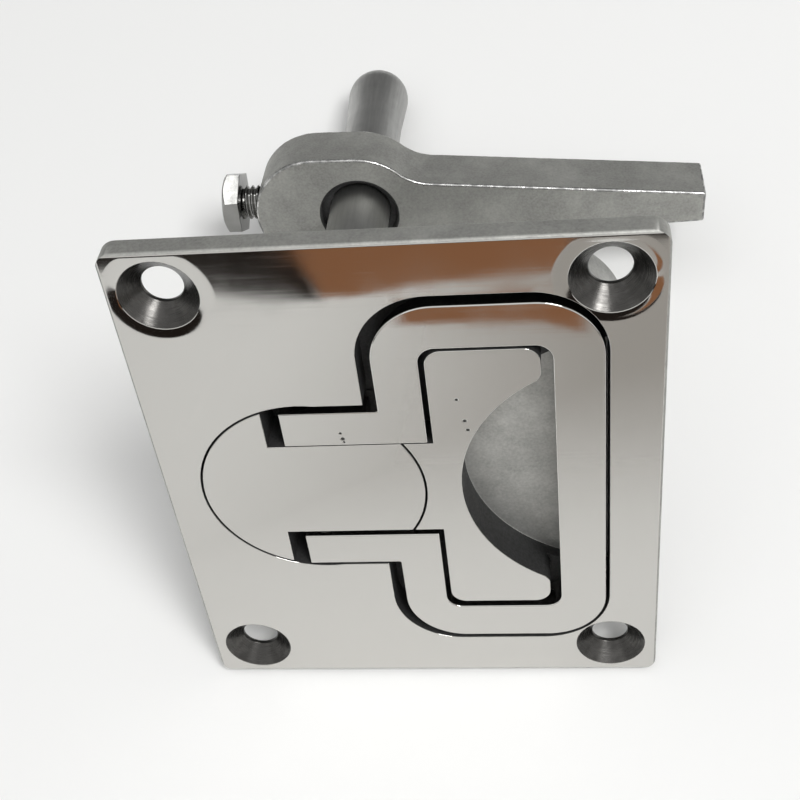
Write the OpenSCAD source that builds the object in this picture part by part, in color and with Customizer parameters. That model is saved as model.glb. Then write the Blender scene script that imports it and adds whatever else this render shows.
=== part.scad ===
// Twist lock lift handle for a hatch. The stirrup handle lies flush in the face plate.
// Lifted upright on its pivot pin, it turns the rotor, the shaft and the cam that locks the hatch.
// Frame: the origin is the centre of the flange on its seat, +Z points out of the polished face,
// and +X points from the rotor to the grip.

/* [Face plate] */
// Thickness of the flange that lies on the hatch
flange_t = 3; // [2.8:0.1:5]
// Flange between the rotor's bore and the plate's edge
heel_margin = 5.1; // [4.5:0.05:9]
// Flange between the recess and the plate's edge at the grip
toe_margin = 6.9; // [6.8:0.05:10]
// Flange between the recess and the plate's long edges
end_margin = 8; // [8:0.1:12]
// Radius of the flange's corners
plate_corner_r = 2.3; // [1.2:0.1:4]
// Radius of the flange's rolled front edge
plate_edge_r = 0.5; // [0.3:0.1:1.2]
// Walls of the tub under the flange
tub_wall = 2.2; // [1.5:0.1:3]
// Floors of the tub
tub_floor = 2; // [1.5:0.1:3]

/* [Mounting holes] */
// Distance of the mounting holes from the heel and toe edges
screw_inset_x = 6.75; // [6.2:0.05:6.9]
// Distance of the mounting holes from the long edges
screw_inset_y = 6.35; // [6:0.05:6.45]
// Diameter of the mounting holes
screw_d = 5.3; // [4.5:0.1:5.5]
// Diameter of the countersinks at the face
screw_head_d = 10.2; // [9:0.1:10.4]

/* [Rotor] */
// Diameter of the rotor's disc
rotor_d = 30.5; // [29.5:0.1:34]
// Thickness of the rotor's disc
rotor_t = 8; // [7.5:0.1:10]
// Gap round the rotor's disc
rotor_gap = 0.3; // [0.2:0.05:0.4]
// Width of the web between the handle's arms
web_w = 16.6; // [15:0.1:17]
// Distance of the slots' end walls from the rotor's axis
slot_end = 5; // [4.5:0.1:6]
// Depth of the slots that the arms lie in
slot_depth = 6.2; // [6:0.1:6.6]
// Diameter of the stem under the disc
stem_d = 15; // [13.5:0.1:16]
// Length of the stem
stem_len = 7; // [6:0.1:9]

/* [Lift handle] */
// Thickness of the handle
handle_t = 4.5; // [4:0.1:4.7]
// Distance from the rotor's axis to the grip's outer face
reach = 39.45; // [38:0.05:46]
// Overall width of the handle along Y
handle_w = 62.8; // [61:0.1:72]
// Width of the grip bar
grip_w = 6.45; // [5.5:0.05:7]
// Width of the two side bars
side_bar_w = 6.65; // [5.5:0.05:7.5]
// Width of the shoulders that join the arms to the side bars
shoulder_w = 6; // [5:0.05:6.5]
// Distance from the rotor's axis to the shoulders
shoulder_x = 10.4; // [10.2:0.05:11]
// Width of each arm
arm_w = 5.75; // [4.5:0.05:5.9]
// Length of the arms' tails beyond the pivot
tail_len = 2.65; // [2.3:0.05:2.8]
// Radius of the handle's outer corners
handle_corner_r = 8.5; // [8.2:0.1:9.5]
// Radius of the handle's inner corners
opening_corner_r = 2.2; // [1:0.1:2.5]
// Height and width of the finger bevel under the grip
grip_bevel = 1.8; // [1:0.1:2.2]
// Side play of the arms on the web
side_play = 1.1; // [0.8:0.05:1.2]

/* [Recess] */
// Gap between the recess and the shoulders
heel_gap = 1.75; // [1.2:0.05:2]
// Gap between the recess and the grip
toe_gap = 0.5; // [0.45:0.05:0.8]
// Gap between the recess and each side bar, with the handle in the middle
end_gap = 1.1; // [1.05:0.05:1.5]
// Gap between the island and the shoulders
island_heel_gap = 0.7; // [0.6:0.05:1]
// Gap between the island and the grip
island_toe_gap = 1.5; // [1:0.05:2]
// Gap between the island and each side bar, with the handle in the middle
island_end_gap = 0.8; // [0.75:0.05:1.2]
// Radius of the island's round tips and corners
island_tip_r = 2.2; // [1:0.1:2.4]
// Width of the island at the middle of the finger well
island_waist = 3.2; // [2.6:0.1:4]
// Radius of the finger well
well_r = 21.7; // [20.5:0.1:22.5]
// Depth of the finger well below the face
well_depth = 6.2; // [6:0.1:8]

/* [Pins] */
// Diameter of the handle's pivot pin
pivot_d = 2.5; // [2:0.1:2.6]
// Diameter of the pin that locks the shaft to the rotor
shaft_pin_d = 3; // [2.5:0.1:3.5]

/* [Shaft] */
// Diameter of the shaft
shaft_d = 10.4; // [10:0.1:11]
// Diameter of the shaft's spigot in the rotor
spigot_d = 8; // [7:0.1:8.5]
// Distance of the spigot's end below the face
spigot_depth = 5; // [4.6:0.1:5.6]
// Reach of the shaft below the flange's seat
shaft_reach = 108.5; // [95:0.5:130]
// Diameter of the shaft's round upset end
upset_d = 11.5; // [11:0.1:12.5]
// Length over which the upset end swells
upset_len = 10; // [6:0.5:14]

/* [Hub and bearing] */
// Diameter of the hub under the rotor
hub_d = 22; // [21:0.1:26]
// Height of the hub's flare
hub_flare = 4; // [2:0.1:6]
// Thickness of the thrust washer under the rotor
thrust_t = 0.8; // [0.5:0.1:1.5]
// Section of the shaft's seal ring
seal_section = 2.4; // [2:0.1:2.4]
// Wall of the shaft's bush
bush_wall = 1.75; // [1.2:0.05:2]
// Length of the bush
bush_len = 10; // [7:0.5:14]
// Thickness of the lip that holds the bush
hub_lip = 1.5; // [1:0.1:2.5]
// Diameter of the washers under the hub
washer_d = 19; // [17.5:0.1:20.5]
// Thickness of each washer under the hub
washer_t = 1; // [0.6:0.1:1.5]
// Height of the wave washer between them
wave_height = 1.6; // [1.2:0.1:2.2]
// Thickness of the wave washer's strip
wave_strip = 0.5; // [0.3:0.05:0.6]
// Waves round the wave washer
wave_count = 3; // [3:1:5]
// Thickness of the retaining ring
ring_t = 1; // [0.8:0.1:1.2]
// Depth of the retaining ring's groove
ring_groove = 0.5; // [0.3:0.05:0.7]
// Width of the retaining ring at its back
ring_w = 2.4; // [1.8:0.1:2.8]

/* [Lock cam] */
// Distance of the cam below the flange's seat
cam_drop = 63.2; // [40:0.1:80]
// Thickness of the cam
cam_t = 9.6; // [9:0.1:12]
// Angle at which the cam is set on the shaft
cam_angle = -1.7; // [-8:0.1:8]
// Radius of the cam's oval head
cam_head_r = 11; // [10:0.1:13]
// Distance between the two centres of the oval head
cam_head_offset = 7.2; // [5:0.1:9]
// Length of the arm from the shaft's axis
cam_arm_len = 58.9; // [45:0.1:70]
// Height of the arm's taper at the shaft's axis
cam_root_h = 13.6; // [11:0.1:15]
// Height of the arm at its tip
cam_tip_h = 5.7; // [4:0.1:9]
// Radius of the fillets between the head and the arm
cam_fillet_r = 9; // [5:0.5:12]
// Diameter of the counterbore round the shaft
cam_counterbore_d = 13.1; // [12.4:0.1:14.5]
// Depth of the counterbore
cam_counterbore_depth = 1.5; // [0.8:0.1:1.6]

/* [Set bolt] */
// Diameter of the set bolt
bolt_d = 6; // [5:0.1:6]
// Size of the set bolt's hexagon across its flats
bolt_af = 10; // [8:0.1:11]
// Height of the set bolt's head
bolt_head_h = 3; // [2.8:0.1:5]
// Shank left showing between the cam and the bolt's head
bolt_stand_off = 2.95; // [1:0.05:6]

/* [Clearances] */
// Radial clearance of parts that turn on each other
running_gap = 0.05; // [0.03:0.01:0.08]
// Radial clearance of pressed and driven parts
seat_gap = 0.01; // [0.01:0.01:0.02]
// Gap between the handle and what it rests beside
rest_gap = 0.1; // [0.05:0.01:0.15]

/* [Hidden] */
$fn = 96;

// Overlap of cutting tools past the faces that they cut
past = 1;
// Overlap of arcs that run into other faces
blend = 0.03;
// Sides of the set bolt's head
hex_sides = 6;
// Crown of the set bolt's head, as a share of its size across the flats
bolt_crown = 0.95;

// Plan of the plate
bore_r = rotor_d / 2 + rotor_gap;
channel_h = 2 * bore_r - rotor_gap;
recess_x0 = shoulder_x - heel_gap;
recess_x1 = reach + toe_gap;
recess_h = handle_w + 2 * end_gap;
recess_corner_r = handle_corner_r + end_gap;
tub_h = recess_h + 2 * tub_wall;
plate_w = heel_margin + bore_r + recess_x1 + toe_margin;
plate_h = recess_h + 2 * end_margin;
rotor_x = heel_margin + bore_r - plate_w / 2;

// Plan of the handle, measured from the rotor's axis
arm_inner = web_w / 2 + side_play / 2;
opening_x0 = shoulder_x + shoulder_w;
opening_x1 = reach - grip_w;
opening_h = handle_w - 2 * side_bar_w;
handle_shift = rest_gap - side_play / 2;

// Plan of the island and the finger well
island_x0 = opening_x0 + island_heel_gap;
island_x1 = opening_x1 - island_toe_gap;
island_h = opening_h - 2 * island_end_gap;
well_x = island_x0 + island_waist + well_r;

// Heights, from the face down
face_z = flange_t;
pivot_z = face_z - handle_t / 2;
recess_z = face_z - handle_t - rest_gap;
well_z = face_z - well_depth;
rotor_z = face_z - rotor_t;
thrust_z = rotor_z - running_gap - thrust_t;
tub_z = well_z - tub_floor;
cup_z = thrust_z - tub_floor;
stem_z = rotor_z - stem_len;
shaft_pin_z = rotor_z - stem_len / 2;
spigot_z = face_z - spigot_depth;
seal_z = stem_z - rest_gap - seal_section / 2;
bush_z = seal_z - seal_section / 2;
lip_z = bush_z - bush_len;
hub_z = lip_z - hub_lip;
washer_z = hub_z - running_gap - washer_t;
wave_z = washer_z - wave_height;
ring_z = wave_z - washer_t - ring_t;
cam_top_z = -cam_drop;
cam_mid_z = cam_top_z - cam_t / 2;
end_centre_z = upset_d / 2 - shaft_reach;

// Diameters on the shaft's axis
stem_bore_d = max(stem_d, shaft_d + 2 * seal_section) + 2 * rotor_gap;
bush_d = shaft_d + 2 * running_gap + 2 * bush_wall;
groove_d = shaft_d - 2 * ring_groove;
ring_lug_d = 4;
ring_hole_d = 1.6;
ring_gap_angle = 24;
wave_steps = 24 * wave_count;
wave_rise = wave_height - wave_strip - 2 * seat_gap;

// Taper of each edge of the cam's arm
cam_taper = atan2((cam_root_h - cam_tip_h) / 2, cam_arm_len);

// Set bolt, along the cam's own X axis
bolt_tip_x = -shaft_d / 2 - running_gap;
bolt_seat_x = -cam_head_offset - cam_head_r - bolt_stand_off;

// Rectangle centred on Y from x0 to x1, with round corners
module rounded_rect(x0, x1, height, r) {
    translate([x0 + r, -height / 2]) square([x1 - x0 - 2 * r, height]);
    translate([x0, r - height / 2]) square([x1 - x0, height - 2 * r]);
    for (x = [x0 + r, x1 - r], y = [r - height / 2, height / 2 - r]) translate([x, y]) circle(r);
}

// Rectangle centred on Y from x0 to x1
module band(x0, x1, height) {
    translate([x0, -height / 2]) square([x1 - x0, height]);
}

// Round rod along Y through a point on the rotor's axis
module cross_rod(d, length, z) {
    translate([0, 0, z]) rotate([90, 0, 0]) cylinder(d = d, h = length, center = true);
}

// Flat ring from a height up
module flat_ring(outer_d, inner_d, height, z) {
    translate([0, 0, z]) difference() {
        cylinder(d = outer_d, h = height);
        translate([0, 0, -past]) cylinder(d = inner_d, h = height + 2 * past);
    }
}

// Section across the flange with its front edges rolled over
module flange_section(width) {
    half = width / 2 - plate_edge_r;
    band_h = flange_t - plate_edge_r;
    translate([-width / 2, 0]) square([width, band_h]);
    translate([-half, 0]) square([2 * half, flange_t]);
    for (x = [-half, half]) translate([x, band_h]) circle(plate_edge_r);
}

// Flange, with both pairs of front edges rolled
module flange() {
    intersection() {
        linear_extrude(flange_t) rounded_rect(-plate_w / 2, plate_w / 2, plate_h, plate_corner_r);
        rotate([90, 0, 0]) linear_extrude(plate_h + past, center = true) flange_section(plate_w);
        rotate([90, 0, 90]) linear_extrude(plate_w + past, center = true) flange_section(plate_h);
    }
}

// Countersunk mounting holes in the flange's corners
module screw_holes() {
    cone_h = (screw_head_d - screw_d) / 2;
    for (sx = [-1, 1], sy = [-1, 1])
        translate([sx * (plate_w / 2 - screw_inset_x), sy * (plate_h / 2 - screw_inset_y)]) {
            translate([0, 0, -past]) cylinder(d = screw_d, h = flange_t + 2 * past);
            translate([0, 0, face_z - cone_h]) cylinder(d1 = screw_d, d2 = screw_head_d, h = cone_h);
            translate([0, 0, face_z]) cylinder(d = screw_head_d, h = past);
        }
}

// Sharp tip of the island between its toe edge and the finger well, which is cut to a round one
module island_tip() {
    rise = sqrt(pow(well_r + island_tip_r, 2) - pow(well_x - island_x1 + island_tip_r, 2));
    centre = [island_x1 - island_tip_r, rise];
    well_centre = [well_x, 0];
    touch = well_centre + (centre - well_centre) * well_r / (well_r + island_tip_r);
    difference() {
        polygon([centre, [island_x1 + past, rise], [island_x1 + past, 0], [touch.x, 0], touch]);
        translate(centre) circle(island_tip_r + blend);
    }
}

// Flush island inside the handle, with the neck that joins it to the rotor's bore
module island() {
    difference() {
        union() {
            rounded_rect(island_x0, island_x1, island_h, island_tip_r);
            band(0, island_x0 + island_tip_r, web_w);
        }
        island_tip();
        mirror([0, 1]) island_tip();
    }
}

// Recess of the handle and the channel of its arms
module recess() {
    difference() {
        union() {
            rounded_rect(recess_x0, recess_x1, recess_h, recess_corner_r);
            band(0, recess_x0 + past, channel_h);
        }
        island();
    }
}

// Finger well in the island's toe side, cut off at the recess's toe wall
module finger_well() {
    intersection() {
        translate([well_x, 0]) circle(well_r);
        band(0, recess_x1, recess_h);
    }
}

// Tub under the recess, cup under the rotor and hub round the shaft
module tub() {
    translate([0, 0, tub_z]) linear_extrude(flange_t / 2 - tub_z) {
        rounded_rect(recess_x0 - tub_wall, recess_x1 + tub_wall, tub_h, recess_corner_r + tub_wall);
        band(0, recess_x0, channel_h + 2 * tub_wall);
    }
    translate([0, 0, cup_z]) cylinder(r = bore_r + tub_wall, h = flange_t / 2 - cup_z);
    translate([0, 0, hub_z]) cylinder(d = hub_d, h = cup_z - hub_z + past);
    translate([0, 0, cup_z - hub_flare]) cylinder(d1 = hub_d, d2 = hub_d + 2 * hub_flare, h = hub_flare);
}

// Cast face plate with its tub, cup and hub
module faceplate() {
    color("gainsboro") difference() {
        union() {
            flange();
            translate([rotor_x, 0]) tub();
        }
        screw_holes();
        translate([rotor_x, 0]) {
            translate([0, 0, recess_z]) linear_extrude(flange_t - recess_z + past) recess();
            translate([0, 0, well_z]) linear_extrude(well_depth + past) finger_well();
            translate([0, 0, thrust_z]) cylinder(r = bore_r, h = face_z - thrust_z + past);
            translate([0, 0, bush_z]) cylinder(d = stem_bore_d, h = thrust_z - bush_z + past);
            translate([0, 0, lip_z]) cylinder(d = bush_d + 2 * seat_gap, h = bush_len + past);
            translate([0, 0, hub_z - past]) cylinder(d = shaft_d + 2 * rotor_gap, h = hub_lip + 2 * past);
        }
    }
}

// Plastic thrust washer between the rotor's disc and the cup's floor
module thrust_washer() {
    color("whitesmoke") translate([rotor_x, 0]) flat_ring(rotor_d, stem_bore_d, thrust_t, thrust_z);
}

// Rubber seal ring on the shaft, between the stem and the bush
module shaft_seal() {
    ring_r = shaft_d / 2 + running_gap + seal_section / 2;
    color("dimgray") translate([rotor_x, 0, seal_z])
        rotate_extrude() translate([ring_r, 0]) circle(d = seal_section);
}

// Plastic bush pressed into the hub
module shaft_bush() {
    color("whitesmoke") translate([rotor_x, 0]) flat_ring(bush_d, shaft_d + 2 * running_gap, bush_len, lip_z);
}

// Slot for one of the handle's arms, open at the rotor's edge
module arm_slot() {
    translate([-slot_end, web_w / 2, face_z - slot_depth])
        cube([slot_end + rotor_d, rotor_d, slot_depth + past]);
}

// Rotor: a flush disc, slotted on both sides for the handle's arms, on a short stem
module rotor() {
    color("lightgray") translate([rotor_x, 0]) difference() {
        union() {
            translate([0, 0, rotor_z]) cylinder(d = rotor_d, h = rotor_t);
            translate([0, 0, stem_z]) cylinder(d = stem_d, h = stem_len + past);
        }
        arm_slot();
        mirror([0, 1]) arm_slot();
        cross_rod(pivot_d + 2 * seat_gap, rotor_d, pivot_z);
        translate([0, 0, stem_z - past]) cylinder(d = spigot_d + 2 * seat_gap, h = spigot_z - stem_z + past);
        cross_rod(shaft_pin_d + 2 * seat_gap, rotor_d, shaft_pin_z);
    }
}

// Pin that the handle swings on, driven through the rotor's web
module pivot_pin() {
    color("silver") translate([rotor_x, 0])
        cross_rod(pivot_d, 2 * (arm_inner + arm_w + handle_shift) - 2 * rest_gap, pivot_z);
}

// Round shaft with its spigot, its retaining groove and its swollen round end
module lock_shaft() {
    color("darkgray") translate([rotor_x, 0]) difference() {
        union() {
            translate([0, 0, stem_z]) cylinder(d = spigot_d, h = spigot_z - stem_z);
            translate([0, 0, end_centre_z]) cylinder(d = shaft_d, h = stem_z - end_centre_z);
            translate([0, 0, end_centre_z]) cylinder(d1 = upset_d, d2 = shaft_d, h = upset_len);
            translate([0, 0, end_centre_z]) sphere(d = upset_d);
        }
        flat_ring(shaft_d + 2 * past, groove_d, ring_t, ring_z);
        cross_rod(shaft_pin_d + 2 * seat_gap, stem_d, shaft_pin_z);
    }
}

// Pin that locks the shaft's spigot into the rotor's stem
module shaft_pin() {
    color("silver") translate([rotor_x, 0]) cross_rod(shaft_pin_d, stem_d - 2 * rest_gap, shaft_pin_z);
}

// Plain washer from a height up, under the hub
module plain_washer(z) {
    color("silver") translate([rotor_x, 0]) flat_ring(washer_d, shaft_d + 2 * rest_gap, washer_t, z);
}

// Washer that turns against the hub's end
module upper_washer() {
    plain_washer(washer_z);
}

// Washer between the wave washer and the retaining ring
module lower_washer() {
    plain_washer(wave_z - washer_t);
}

// Corner of the wave washer's strip at a turn round the shaft
function wave_point(turn, r, z) =
    [r * cos(turn), r * sin(turn), z + wave_rise * (1 - cos(wave_count * turn)) / 2];

// Triangles of one side of the strip between two of its sections
function strip_side(near, far, side) = let (next = (side + 1) % 4)
    [[near + side, far + side, far + next], [near + side, far + next, near + next]];

// Springy ring bent into waves, which takes the play out of the shaft
module wave_washer() {
    inner_r = shaft_d / 2 + rest_gap;
    outer_r = (washer_d - ring_t) / 2;
    low = wave_z + seat_gap;
    high = low + wave_strip;
    section = [[inner_r, low], [outer_r, low], [outer_r, high], [inner_r, high]];
    points = [
        for (i = [0 : wave_steps - 1], corner = section) wave_point(360 * i / wave_steps, corner.x, corner.y)
    ];
    faces = [
        for (i = [0 : wave_steps - 1], side = [0 : 3])
            each strip_side(4 * i, 4 * ((i + 1) % wave_steps), side)
    ];
    color("silver") translate([rotor_x, 0]) polyhedron(points, faces);
}

// Places of the retaining ring's lugs, on both sides of its gap
module at_lugs() {
    for (side = [-1, 1])
        rotate(180 + side * ring_gap_angle) translate([groove_d / 2 + ring_w, 0]) children();
}

// Plan of the retaining ring, open on one side, with two pierced lugs
module ring_plan() {
    gap_half = washer_d * tan(ring_gap_angle / 3);
    difference() {
        union() {
            circle(d = groove_d + 2 * ring_w);
            at_lugs() circle(d = ring_lug_d);
        }
        circle(d = groove_d + 2 * seat_gap);
        at_lugs() circle(d = ring_hole_d);
        polygon([[0, 0], [-washer_d, gap_half], [-washer_d, -gap_half]]);
    }
}

// Retaining ring in the shaft's groove
module retaining_ring() {
    color("silver") translate([rotor_x, 0, ring_z]) linear_extrude(ring_t) ring_plan();
}

// Plan of the stirrup: two arms, two shoulders, two side bars and the grip
module handle_plan() {
    difference() {
        union() {
            rounded_rect(shoulder_x, reach, handle_w, handle_corner_r);
            band(-tail_len, shoulder_x + shoulder_w / 2, 2 * (arm_inner + arm_w));
        }
        rounded_rect(opening_x0, opening_x1, opening_h, opening_corner_r);
        band(-tail_len - past, opening_x0 + opening_corner_r, 2 * arm_inner);
    }
}

// Bevel under the grip that a finger hooks on
module finger_bevel() {
    straight = opening_h - 2 * opening_corner_r;
    translate([opening_x1, straight / 2, face_z - handle_t]) rotate([90, 0, 0]) linear_extrude(straight)
        polygon([[-past, -past], [grip_bevel + past, -past], [-past, grip_bevel + past]]);
}

// Stirrup handle, at rest against one side of the web
module lift_handle() {
    color("lightgray") translate([rotor_x, handle_shift]) difference() {
        translate([0, 0, face_z - handle_t]) linear_extrude(handle_t) handle_plan();
        finger_bevel();
        cross_rod(pivot_d + 2 * running_gap, handle_w, pivot_z);
    }
}

// Centre of the fillet between the cam's head and the upper edge of its arm
function cam_fillet_centre() = let (
        edge = cam_root_h / 2 * cos(cam_taper) + cam_fillet_r,
        run = sqrt(pow(cam_head_r + cam_fillet_r, 2) - pow(edge, 2))
    )
    edge * [sin(cam_taper), cos(cam_taper)] + run * [cos(cam_taper), -sin(cam_taper)];

// Tapered arm of the cam, with the fillets that run into its head
module cam_arm() {
    centre = cam_fillet_centre();
    touch = centre - cam_fillet_r * [sin(cam_taper), cos(cam_taper)];
    upper = [centre, touch, [cam_arm_len, cam_tip_h / 2]];
    lower = [for (i = [2 : -1 : 0]) [upper[i].x, -upper[i].y]];
    difference() {
        polygon(concat([[-past, 0]], upper, lower));
        translate(centre) circle(cam_fillet_r + blend);
        translate([centre.x, -centre.y]) circle(cam_fillet_r + blend);
    }
}

// Oval head of the cam, round the shaft and the set bolt
module cam_head() {
    band(-cam_head_offset, 0, 2 * cam_head_r);
    for (x = [-cam_head_offset, 0]) translate([x, 0]) circle(cam_head_r);
}

// Place of the cam and its bolt, turned to the angle that the cam is set at
module on_cam() {
    translate([rotor_x, 0]) rotate(cam_angle) children();
}

// Lock cam, clamped on the shaft by the set bolt
module lock_cam() {
    bore_d = shaft_d + 2 * running_gap;
    color("gray") on_cam() difference() {
        translate([0, 0, cam_top_z - cam_t]) {
            linear_extrude(cam_t) cam_head();
            linear_extrude(cam_t) cam_arm();
        }
        translate([0, 0, cam_top_z - cam_t - past]) cylinder(d = bore_d, h = cam_t + 2 * past);
        translate([0, 0, cam_top_z - cam_counterbore_depth])
            cylinder(d = cam_counterbore_d, h = cam_counterbore_depth + past);
        translate([0, 0, cam_mid_z]) rotate([0, -90, 0])
            cylinder(d = bolt_d + 2 * running_gap, h = cam_head_offset + cam_head_r + past);
    }
}

// Hexagon set bolt with its corners turned off
module set_bolt() {
    corner_d = bolt_af / cos(180 / hex_sides);
    color("silver") on_cam() translate([0, 0, cam_mid_z]) rotate([0, -90, 0]) {
        translate([0, 0, -bolt_tip_x]) cylinder(d = bolt_d, h = bolt_tip_x - bolt_seat_x);
        translate([0, 0, -bolt_seat_x]) intersection() {
            rotate(90) cylinder(d = corner_d, h = bolt_head_h, $fn = hex_sides);
            cylinder(d1 = corner_d + 2 * bolt_head_h, d2 = bolt_crown * bolt_af, h = bolt_head_h);
        }
    }
}

faceplate();
thrust_washer();
shaft_seal();
shaft_bush();
rotor();
pivot_pin();
lock_shaft();
shaft_pin();
upper_washer();
wave_washer();
lower_washer();
retaining_ring();
lift_handle();
lock_cam();
set_bolt();
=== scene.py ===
"""Finishes, edge breaks, thread and stage of a twist lock lift handle, built round its solids."""

import math

import bmesh
import bpy
from bpy.props import FloatProperty, FloatVectorProperty, IntProperty, PointerProperty
from bpy.types import Operator, Panel, PropertyGroup
from mathutils import Matrix, Vector


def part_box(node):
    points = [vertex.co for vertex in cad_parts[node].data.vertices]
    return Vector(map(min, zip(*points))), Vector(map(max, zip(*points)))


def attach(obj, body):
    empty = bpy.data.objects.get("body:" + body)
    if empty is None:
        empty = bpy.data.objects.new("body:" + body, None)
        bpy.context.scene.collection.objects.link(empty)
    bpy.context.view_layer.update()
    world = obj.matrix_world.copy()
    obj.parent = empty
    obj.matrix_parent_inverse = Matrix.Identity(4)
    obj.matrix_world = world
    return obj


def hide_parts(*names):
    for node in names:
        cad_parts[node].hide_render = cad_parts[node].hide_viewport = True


bl_info = {
    "name": "Twist Lock Lift Handle",
    "version": (1, 0, 0),
    "blender": (4, 5, 0),
    "location": "View3D > Sidebar > Latch",
    "description": "Dresses the solids of a flush twist lock lift handle and sets its stage",
    "category": "Object",
}

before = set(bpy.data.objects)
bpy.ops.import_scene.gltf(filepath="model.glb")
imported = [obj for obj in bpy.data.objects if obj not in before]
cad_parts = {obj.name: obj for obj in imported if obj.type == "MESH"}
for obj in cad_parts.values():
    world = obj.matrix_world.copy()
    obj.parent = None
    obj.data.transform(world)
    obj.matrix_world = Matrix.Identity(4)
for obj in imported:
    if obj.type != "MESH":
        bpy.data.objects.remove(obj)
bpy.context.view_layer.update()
PLATE_LOW, PLATE_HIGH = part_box("faceplate")
CAM_LOW, CAM_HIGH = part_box("lock_cam")
SHAFT_LOW, SHAFT_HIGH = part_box("lock_shaft")
SHAFT_X = (SHAFT_LOW.x + SHAFT_HIGH.x) / 2
CAM_Z = (CAM_LOW.z + CAM_HIGH.z) / 2

# Angles between faces: an edge past the first is broken, and one below the second is shaded smooth
SHARP_ANGLE = math.radians(28)
SMOOTH_ANGLE = math.radians(32)

# Places that tell the edges and faces of the solids apart, in metres
ABOVE_SEAT = 0.0001
ROLLED_RIM = 0.0012
FLANGE_SIDE = 0.001
WELL_FLOOR = -0.0025
WELL_WALL = 0.0003
HUB_REACH = 0.0185
CROSS_HOLE = -0.012
BOLT_HOLE = 0.0045

# Pits in the polish: place across and up the face, and radius, in metres
FACE_PITS = ((0.0076, 0.0159, 0.00022), (0.0084, 0.0122, 0.00025), (0.0087, 0.0106, 0.00025))
HANDLE_PITS = ((-0.008, 0.0106, 0.0002), (-0.0078, 0.0096, 0.00028), (-0.0077, 0.009, 0.00018))

# Corners of the cards that the polish mirrors: place across and out from the plate's foot, in metres
WARM_CARD = (
    (-0.098, 0.3),
    (-0.05, 0.183),
    (-0.04, 0.181),
    (-0.03, 0.186),
    (-0.022, 0.191),
    (0.022, 0.193),
    (0.029, 0.206),
    (0.03, 0.3),
)
WARM_STRIP = ((-0.028, 0.184), (-0.026, 0.161), (0.02, 0.156), (0.03, 0.147), (0.032, 0.177))
DARK_CARD = (
    (-0.16, 0.31),
    (-0.12, 0.222),
    (-0.102, 0.204),
    (-0.084, 0.189),
    (-0.066, 0.181),
    (-0.044, 0.179),
    (-0.046, 0.19),
    (-0.09, 0.31),
)
LEFT_CARD = ((-0.6, 0.215), (-0.13, 0.214), (-0.1, 0.222), (-0.07, 0.235), (-0.07, 0.34), (-0.6, 0.34))
RIGHT_CARD = ((0.022, 0.214), (0.03, 0.219), (0.038, 0.227), (0.6, 0.225), (0.6, 0.34), (0.03, 0.34))
FAR_CARD = ((-0.6, 0.31), (0.6, 0.31), (0.6, 1.3), (-0.6, 1.3))
GREY_CARD = ((-0.065, 0.025), (0.435, 0.025), (0.435, 0.525), (-0.065, 0.525))

# Cards of the stage: name, colour, corners, height over the floor and width of the soft rim
CARDS = (
    ("grey card", "grey_colour", GREY_CARD, 0.0002, 0.155),
    ("warm card", "warm_colour", WARM_CARD, 0.0004, 0.006),
    ("warm strip", "warm_colour", WARM_STRIP, 0.0004, 0.007),
    ("dark card", "dark_colour", DARK_CARD, 0.0006, 0.01),
    ("left card", "dark_colour", LEFT_CARD, 0.0008, 0.012),
    ("right card", "dark_colour", RIGHT_CARD, 0.0008, 0.008),
    ("far card", "dark_colour", FAR_CARD, 0.001, 0.02),
)

# Lamps of the stage: name, power, side and place across, out and up from the plate's foot
LAMPS = (
    ("key", "key_power", 2.0, (-0.1, 0.2, 1.32)),
    ("side", "side_power", 0.4, (0.48, 0.3, 1.08)),
    ("small lamp", "spot_power", 0.14, (-0.3, -0.43, 1.28)),
)


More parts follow.
